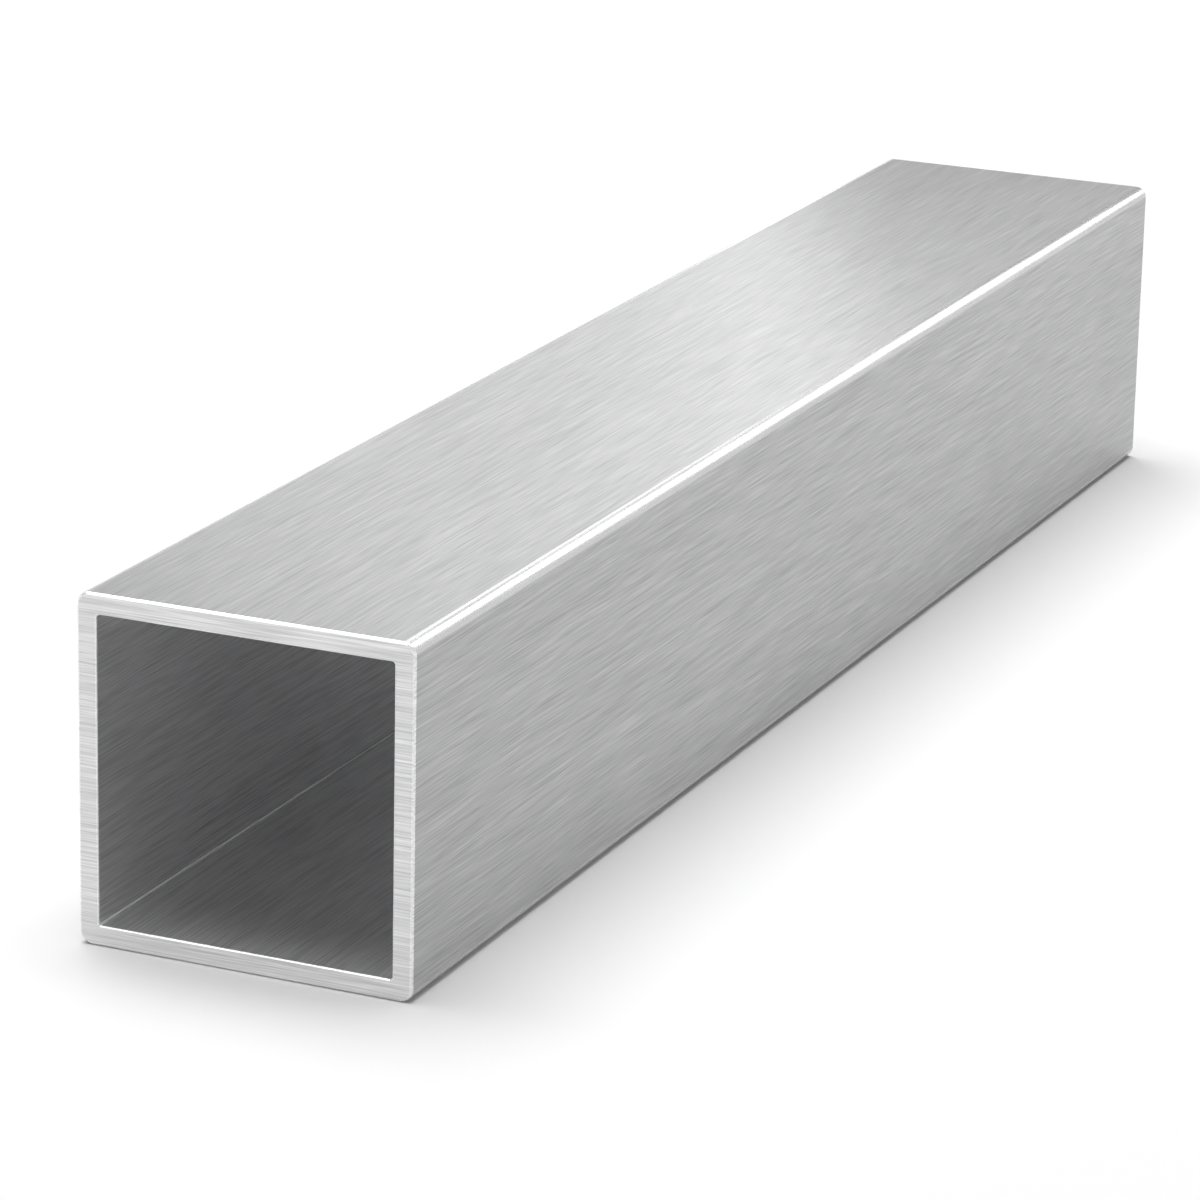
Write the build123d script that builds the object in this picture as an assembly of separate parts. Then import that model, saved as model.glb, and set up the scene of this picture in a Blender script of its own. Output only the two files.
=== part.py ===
from build123d import *
import os

# Square aluminium tube: one cut length of extruded box section, lying on one of its four faces.
# Millimetres, +Z up. The origin is on the surface that the tube lies on, halfway along it and halfway
# across it, and the length runs along Y. The two cut ends face -Y and +Y.

# Extruded section
side = 50.0  # outside width and height
wall = 3.0  # the same on all four sides
outer_corner_radius = 1.8  # along the four outside corners
bore_corner_radius = 0.4  # along the four corners of the bore, nearly square as the die leaves them

# Cut length, and the edges of its two ends, broken by hand after the saw
length = 300.0
outer_rim_radius = 0.45  # round the outside of each cut end
bore_rim_radius = 0.3  # round each mouth of the bore

# Worked out from the sizes above
bore_side = side - 2 * wall


def box_section():
    """The die's profile, standing upright across Y: a rounded square with a nearly sharp square bore."""
    with BuildSketch(Plane.XZ) as profile:
        with Locations((0, side / 2)):
            RectangleRounded(side, side, outer_corner_radius)
            RectangleRounded(bore_side, bore_side, bore_corner_radius, mode=Mode.SUBTRACT)
    return profile.sketch


def cut_ends(tube):
    """The flat ring that the saw leaves at each end: the only two faces that lie across the length."""
    return tube.faces().filter_by(Plane.XZ)


def break_edges(tube):
    """Rolls both cut ends over: a larger radius round the outside, a lighter one round the bore."""
    outer_rims = [edge for ring in cut_ends(tube) for edge in ring.outer_wire().edges()]
    tube = fillet(outer_rims, outer_rim_radius)
    bore_rims = [edge for ring in cut_ends(tube) for mouth in ring.inner_wires() for edge in mouth.edges()]
    return fillet(bore_rims, bore_rim_radius)


def square_tube():
    """One piece: the section extruded both ways from the middle, with its ends cut square and broken."""
    blank = extrude(box_section(), amount=length / 2, both=True)
    return break_edges(blank)


pieces = {"square_tube": square_tube()}

os.makedirs("parts", exist_ok=True)
for node, solid in pieces.items():
    solid.label = node
    export_step(solid, f"parts/{node}.step")
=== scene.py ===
from math import pi, radians

import bpy
from mathutils import Matrix, Quaternion, Vector


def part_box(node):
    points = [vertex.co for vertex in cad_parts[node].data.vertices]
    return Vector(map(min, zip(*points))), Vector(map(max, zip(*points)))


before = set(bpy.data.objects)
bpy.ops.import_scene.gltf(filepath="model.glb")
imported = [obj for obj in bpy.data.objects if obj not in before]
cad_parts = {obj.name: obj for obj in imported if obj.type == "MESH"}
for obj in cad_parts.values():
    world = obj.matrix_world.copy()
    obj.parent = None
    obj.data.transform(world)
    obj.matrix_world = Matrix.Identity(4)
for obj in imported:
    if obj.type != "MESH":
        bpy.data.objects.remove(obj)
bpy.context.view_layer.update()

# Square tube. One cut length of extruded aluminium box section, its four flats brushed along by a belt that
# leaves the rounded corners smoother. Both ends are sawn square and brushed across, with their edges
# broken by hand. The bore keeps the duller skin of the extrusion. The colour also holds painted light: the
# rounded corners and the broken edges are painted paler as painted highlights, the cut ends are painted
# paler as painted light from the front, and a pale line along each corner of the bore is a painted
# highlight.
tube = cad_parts["square_tube"]
tube_low, tube_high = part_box("square_tube")
wall = 0.003
bore_half = (tube_high.x - tube_low.x) / 2 - wall
axis_height = (tube_low.z + tube_high.z) / 2

finish = bpy.data.materials.new("brushed_aluminium")
finish.use_nodes = True
finish_tree = finish.node_tree
finish_tree.nodes.clear()


def add_node(tree, kind, inputs=(), **options):
    """One shader node. An input is fed by another node's output, or set to a plain number or colour."""
    node = tree.nodes.new(kind)
    for name, value in options.items():
        setattr(node, name, value)
    for socket, value in dict(inputs).items():
        if isinstance(value, bpy.types.NodeSocket):
            tree.links.new(value, node.inputs[socket])
        else:
            node.inputs[socket].default_value = value
    return node


def sums(operation, *values, clamp=False):
    """One number of the finish, worked out from others."""
    return add_node(
        finish_tree, "ShaderNodeMath", enumerate(values), operation=operation, use_clamp=clamp
    ).outputs[0]


def vectors(operation, *values):
    """Three numbers of the finish, worked out from others."""
    return add_node(finish_tree, "ShaderNodeVectorMath", enumerate(values), operation=operation).outputs[0]


def scaled(numbers, factor):
    """Three numbers, each times the same factor."""
    return add_node(
        finish_tree, "ShaderNodeVectorMath", {0: numbers, "Scale": factor}, operation="SCALE"
    ).outputs[0]


def between(share, first, second):
    """A number that turns from first, where share is 0, to second, where it is 1."""
    return sums("MULTIPLY_ADD", share, second - first, first)


def either(share, first, second):
    """Three numbers that turn from first, where share is 0, to second, where it is 1."""
    return add_node(
        finish_tree, "ShaderNodeMix", {"Factor": share, "A": first, "B": second}, data_type="VECTOR"
    ).outputs["Result"]


# The parts of the surface are told apart by the way they face, and the bore by its distance from the axis.
# Endways is 0 on the sides and 1 on the cut ends. Slant is 0 on a flat and 0.7 halfway round a corner.
cut_end_endways = 0.7
rim_endways = 0.5
rim_reach = 0.48
full_corner_slant = 0.125
painted_highlight_line_slant = 0.35
bore_margin = 0.0001
place = add_node(finish_tree, "ShaderNodeTexCoord").outputs["Object"]
place_parts = add_node(finish_tree, "ShaderNodeSeparateXYZ", {"Vector": place})
facing = add_node(finish_tree, "ShaderNodeNewGeometry").outputs["Normal"]
facing_parts = add_node(finish_tree, "ShaderNodeSeparateXYZ", {"Vector": facing})
endways = sums("ABSOLUTE", facing_parts.outputs["Y"])
on_cut_end = sums("GREATER_THAN", endways, cut_end_endways)
on_rim = sums("COMPARE", endways, rim_endways, rim_reach)
sideways = sums("ABSOLUTE", facing_parts.outputs["X"])
upright = sums("ABSOLUTE", facing_parts.outputs["Z"])
slant = sums("MINIMUM", sideways, upright)
on_corner = sums("DIVIDE", slant, full_corner_slant, clamp=True)
# In the bore, the middle of each corner carries a painted highlight line.
on_painted_highlight_line = sums("GREATER_THAN", slant, painted_highlight_line_slant)
across_axis = sums("ABSOLUTE", place_parts.outputs["X"])
above_axis = sums("ABSOLUTE", sums("SUBTRACT", place_parts.outputs["Z"], axis_height))
in_bore = sums("LESS_THAN", sums("MAXIMUM", across_axis, above_axis), bore_half + bore_margin)

# The belt wanders a little, so the lines drift sideways as they run.
wander_length = 0.045
wander_width = 0.0007
wander_middle = (0.5, 0.5, 0.5)
wander = add_node(
    finish_tree, "ShaderNodeTexNoise", {"Vector": place, "Scale": 1 / wander_length, "Detail": 1.0}
)
wander_shift = scaled(vectors("SUBTRACT", wander.outputs["Color"], wander_middle), wander_width)
brushed_place = vectors("ADD", place, wander_shift)


def grain(width, length, detail):
    """Brush marks of one size, mostly near 0.5. They run along Y, and along X on the cut ends."""
    stretch = either(
        on_cut_end, (1 / width, 1 / length, 1 / width), (1 / length, 1 / width, 1 / width)
    )
    stretched = vectors("MULTIPLY", brushed_place, stretch)
    marks = add_node(
        finish_tree,
        "ShaderNodeTexNoise",
        {"Vector": stretched, "Scale": 1.0, "Detail": detail, "Roughness": 0.6},
    )
    return marks.outputs["Fac"]


def swing(marks, depth):
    """A factor near 1 that follows the marks, with depth between its lowest and its highest."""
    return sums("MULTIPLY_ADD", sums("SUBTRACT", marks, 0.5), depth, 1.0)


hairlines = grain(width=0.0002, length=0.014, detail=2.0)
strokes = grain(width=0.0008, length=0.03, detail=2.0)
bands = grain(width=0.005, length=0.09, detail=1.0)
flat_hairline_depth = 1.1
corner_hairline_depth = 0.2
stroke_depth = 0.24
band_depth = 0.08
hairline_depth = between(on_corner, flat_hairline_depth, corner_hairline_depth)
fine_tone = sums("MULTIPLY", swing(hairlines, hairline_depth), swing(strokes, stroke_depth))
tone = sums("MULTIPLY", fine_tone, swing(bands, band_depth))

flat_grey = (0.388, 0.389, 0.393)
# The rounded corners are painted paler than the flats: a painted highlight along the long edges.
corner_grey_with_painted_highlight = (0.54, 0.54, 0.545)
# The cut ends are painted paler than the flats: painted light, standing in for light from the front.
cut_end_grey_with_painted_light = (0.65, 0.65, 0.655)
# The broken edges of the ends are painted pale: a painted highlight.
rim_grey_with_painted_highlight = (0.85, 0.85, 0.855)
bore_grey = (0.86, 0.86, 0.865)
# The pale line along each corner of the bore is a painted highlight.
painted_highlight_line_grey = (0.97, 0.97, 0.975)
outside_grey = either(on_cut_end, either(on_corner, flat_grey, corner_grey_with_painted_highlight), cut_end_grey_with_painted_light)
inside_grey = either(on_painted_highlight_line, bore_grey, painted_highlight_line_grey)
grey = either(on_rim, either(in_bore, outside_grey, inside_grey), rim_grey_with_painted_highlight)

smoothest_stroke = 0.29
roughest_stroke = 0.37
corner_smoothing = 0.14
brushed_roughness = between(strokes, smoothest_stroke, roughest_stroke)
roughness = sums("SUBTRACT", brushed_roughness, sums("MULTIPLY", on_corner, corner_smoothing))

# The skin of the bore is partly oxide, which hardly mirrors, and the painted highlight lines in its corners
# are wholly matt.
skin_oxide = 0.36
oxide = sums("MULTIPLY", in_bore, between(on_painted_highlight_line, skin_oxide, 1.0))
metallic = sums("SUBTRACT", 1.0, oxide)

# A highlight spreads square to the brush marks.
along_tube = (0.0, 1.0, 0.0)
across_tube = (1.0, 0.0, 0.0)
spread_direction = vectors("CROSS_PRODUCT", facing, either(on_cut_end, along_tube, across_tube))

relief_strength = 0.25
relief_height = 0.00003
relief = add_node(
    finish_tree,
    "ShaderNodeBump",
    {
        "Height": sums("ADD", hairlines, strokes),
        "Strength": between(on_corner, relief_strength, 0.0),
        "Distance": relief_height,
    },
)

metal = add_node(
    finish_tree,
    "ShaderNodeBsdfPrincipled",
    {
        "Base Color": scaled(grey, tone),
        "Metallic": metallic,
        "Roughness": roughness,
        "Anisotropic": 1.0,
        "Tangent": spread_direction,
        "Normal": relief.outputs["Normal"],
    },
)
add_node(finish_tree, "ShaderNodeOutputMaterial", {"Surface": metal.outputs["BSDF"]})
tube.data.materials.clear()
tube.data.materials.append(finish)

# The faces share their edges again, and the large ones set the shading, so that the flats look flat.
weld = tube.modifiers.new("joined_faces", "WELD")
weld.merge_threshold = 0.000001
even_normals = tube.modifiers.new("flat_faces_true", "WEIGHTED_NORMAL")
even_normals.weight = 100

# Floor. A plain white studio floor, level with the face that the tube lies on. Near the tube the scrim
# lights it white, and further out, where that light falls away, a glow of its own takes over.
floor_reach = 6.0
floor_gap = 0.00002
floor_mesh = bpy.data.meshes.new("floor")
floor_mesh.from_pydata(
    [
        (-floor_reach, -floor_reach, -floor_gap),
        (floor_reach, -floor_reach, -floor_gap),
        (floor_reach, floor_reach, -floor_gap),
        (-floor_reach, floor_reach, -floor_gap),
    ],
    [],
    [(0, 1, 2, 3)],
)
floor = bpy.data.objects.new("floor", floor_mesh)
bpy.context.scene.collection.objects.link(floor)
floor_paint = bpy.data.materials.new("floor_white")
floor_paint.use_nodes = True
floor_tree = floor_paint.node_tree
floor_tree.nodes.clear()


def seen_or_mirrored(tree):
    """1 for a ray from the camera, from a mirroring surface or through glass, and 0 for the rest."""
    ray = add_node(tree, "ShaderNodeLightPath")
    share = ray.outputs["Is Camera Ray"]
    for kind in ("Is Glossy Ray", "Is Transmission Ray"):
        share = add_node(
            tree, "ShaderNodeMath", {0: share, 1: ray.outputs[kind]}, operation="ADD", use_clamp=True
        ).outputs[0]
    return share


def ramp(tree, value, start, end, first, last, slope="LINEAR"):
    """First where the value is below start, last where it is above end, and a slope in between."""
    return add_node(
        tree,
        "ShaderNodeMapRange",
        {"Value": value, "From Min": start, "From Max": end, "To Min": first, "To Max": last},
        interpolation_type=slope,
    ).outputs["Result"]


near_distance = 0.3
far_distance = 2.8
near_glow = 0.05
far_glow = 0.87
floor_white = (0.88, 0.88, 0.88, 1.0)
floor_place = add_node(floor_tree, "ShaderNodeTexCoord").outputs["Object"]
distance = add_node(
    floor_tree, "ShaderNodeVectorMath", {0: floor_place}, operation="LENGTH"
).outputs["Value"]
floor_glow = ramp(floor_tree, distance, near_distance, far_distance, near_glow, far_glow)
lift = add_node(
    floor_tree, "ShaderNodeMath", {0: seen_or_mirrored(floor_tree), 1: floor_glow}, operation="MULTIPLY"
)
lit = add_node(floor_tree, "ShaderNodeBsdfDiffuse", {"Color": floor_white})
glow = add_node(floor_tree, "ShaderNodeEmission", {"Strength": lift.outputs[0]})
floor_sum = add_node(floor_tree, "ShaderNodeAddShader", {0: lit.outputs[0], 1: glow.outputs[0]})
add_node(floor_tree, "ShaderNodeOutputMaterial", {"Surface": floor_sum.outputs[0]})
floor_mesh.materials.append(floor_paint)

# Studio. A white backdrop round the foot of the room, a greyer wall above it and a pale ceiling, which
# the metal mirrors as well. The sines are of the angle above the horizon.
horizon_sine = 0.18
wall_sine = 0.29
ceiling_start_sine = 0.35
ceiling_sine = 0.7
backdrop_white = (1.0, 1.0, 1.0, 1.0)
backdrop_level = 1.0
wall_level = 0.585
ceiling_level = 0.8
room_light = 0.12
studio = bpy.data.worlds.new("studio")
bpy.context.scene.world = studio
studio.use_nodes = True
studio_tree = studio.node_tree
studio_tree.nodes.clear()
direction = add_node(studio_tree, "ShaderNodeTexCoord").outputs["Generated"]
upward = add_node(studio_tree, "ShaderNodeSeparateXYZ", {"Vector": direction}).outputs["Z"]
walls = ramp(studio_tree, upward, horizon_sine, wall_sine, backdrop_level, wall_level, "SMOOTHSTEP")
room = ramp(studio_tree, upward, ceiling_start_sine, ceiling_sine, walls, ceiling_level, "SMOOTHSTEP")
studio_strength = add_node(
    studio_tree, "ShaderNodeMix", {"Factor": seen_or_mirrored(studio_tree), "A": room_light, "B": room}
)
backdrop = add_node(
    studio_tree,
    "ShaderNodeBackground",
    {"Color": backdrop_white, "Strength": studio_strength.outputs["Result"]},
)
add_node(studio_tree, "ShaderNodeOutputWorld", {"Surface": backdrop.outputs[0]})

# Lamps. A wide scrim high over the tube lights the floor and gives the soft shadow round its foot. The
# rest show in the metal and leave the floor alone: behind the tube a strip, a leaning box and a broad
# box, and in front of it a box up to the left.


def soft_box(name, place, width, height, radiance, lights_floor=False, lean=0):
    """A flat lamp facing the tube, its top leaning right by that many degrees. Radiance 1 is white."""
    light = bpy.data.lights.new(name, "AREA")
    light.shape = "RECTANGLE"
    light.size = width
    light.size_y = height
    light.energy = radiance * pi * width * height
    stand = bpy.data.objects.new(name, light)
    bpy.context.scene.collection.objects.link(stand)
    stand.location = place
    aim = (Vector((0, 0, axis_height)) - Vector(place)).to_track_quat("-Z", "Y")
    stand.rotation_euler = (aim @ Quaternion((0, 0, 1), radians(lean))).to_euler()
    stand.visible_camera = False
    stand.visible_diffuse = lights_floor


soft_box("scrim", (-0.25, 0.1, 2.4), width=1.6, height=2.2, radiance=6.2, lights_floor=True)
soft_box("strip", (-0.21, 0.592, 0.29), width=0.04, height=0.4, radiance=1.8, lean=12)
soft_box("edge_box", (0.186, 0.6, 0.338), width=0.23, height=0.28, radiance=3.8, lean=48)
soft_box("back_box", (-0.22, 0.6, 0.41), width=0.3, height=0.22, radiance=0.9)
soft_box("front_box", (-0.5, -1.0, 0.95), width=0.8, height=0.8, radiance=2.0)

# Camera. A long lens to the right of the near end, looking down along the tube, as the photograph was
# taken. It leans a little to one side.
camera_azimuth = radians(23.577)
camera_elevation = radians(17.373)
camera_roll = radians(1.222)
camera_place = (0.304785, -0.731913, 0.258333)
lens = bpy.data.cameras.new("camera")
lens.lens = 157.62
lens.sensor_width = 36.0
lens.clip_start = 0.01
lens.clip_end = 50.0
camera = bpy.data.objects.new("camera", lens)
bpy.context.scene.collection.objects.link(camera)
camera.matrix_world = (
    Matrix.Translation(camera_place)
    @ Matrix.Rotation(camera_azimuth, 4, "Z")
    @ Matrix.Rotation(pi / 2 - camera_elevation, 4, "X")
    @ Matrix.Rotation(camera_roll, 4, "Z")
)
bpy.context.scene.camera = camera
bpy.context.scene.view_settings.view_transform = "Standard"
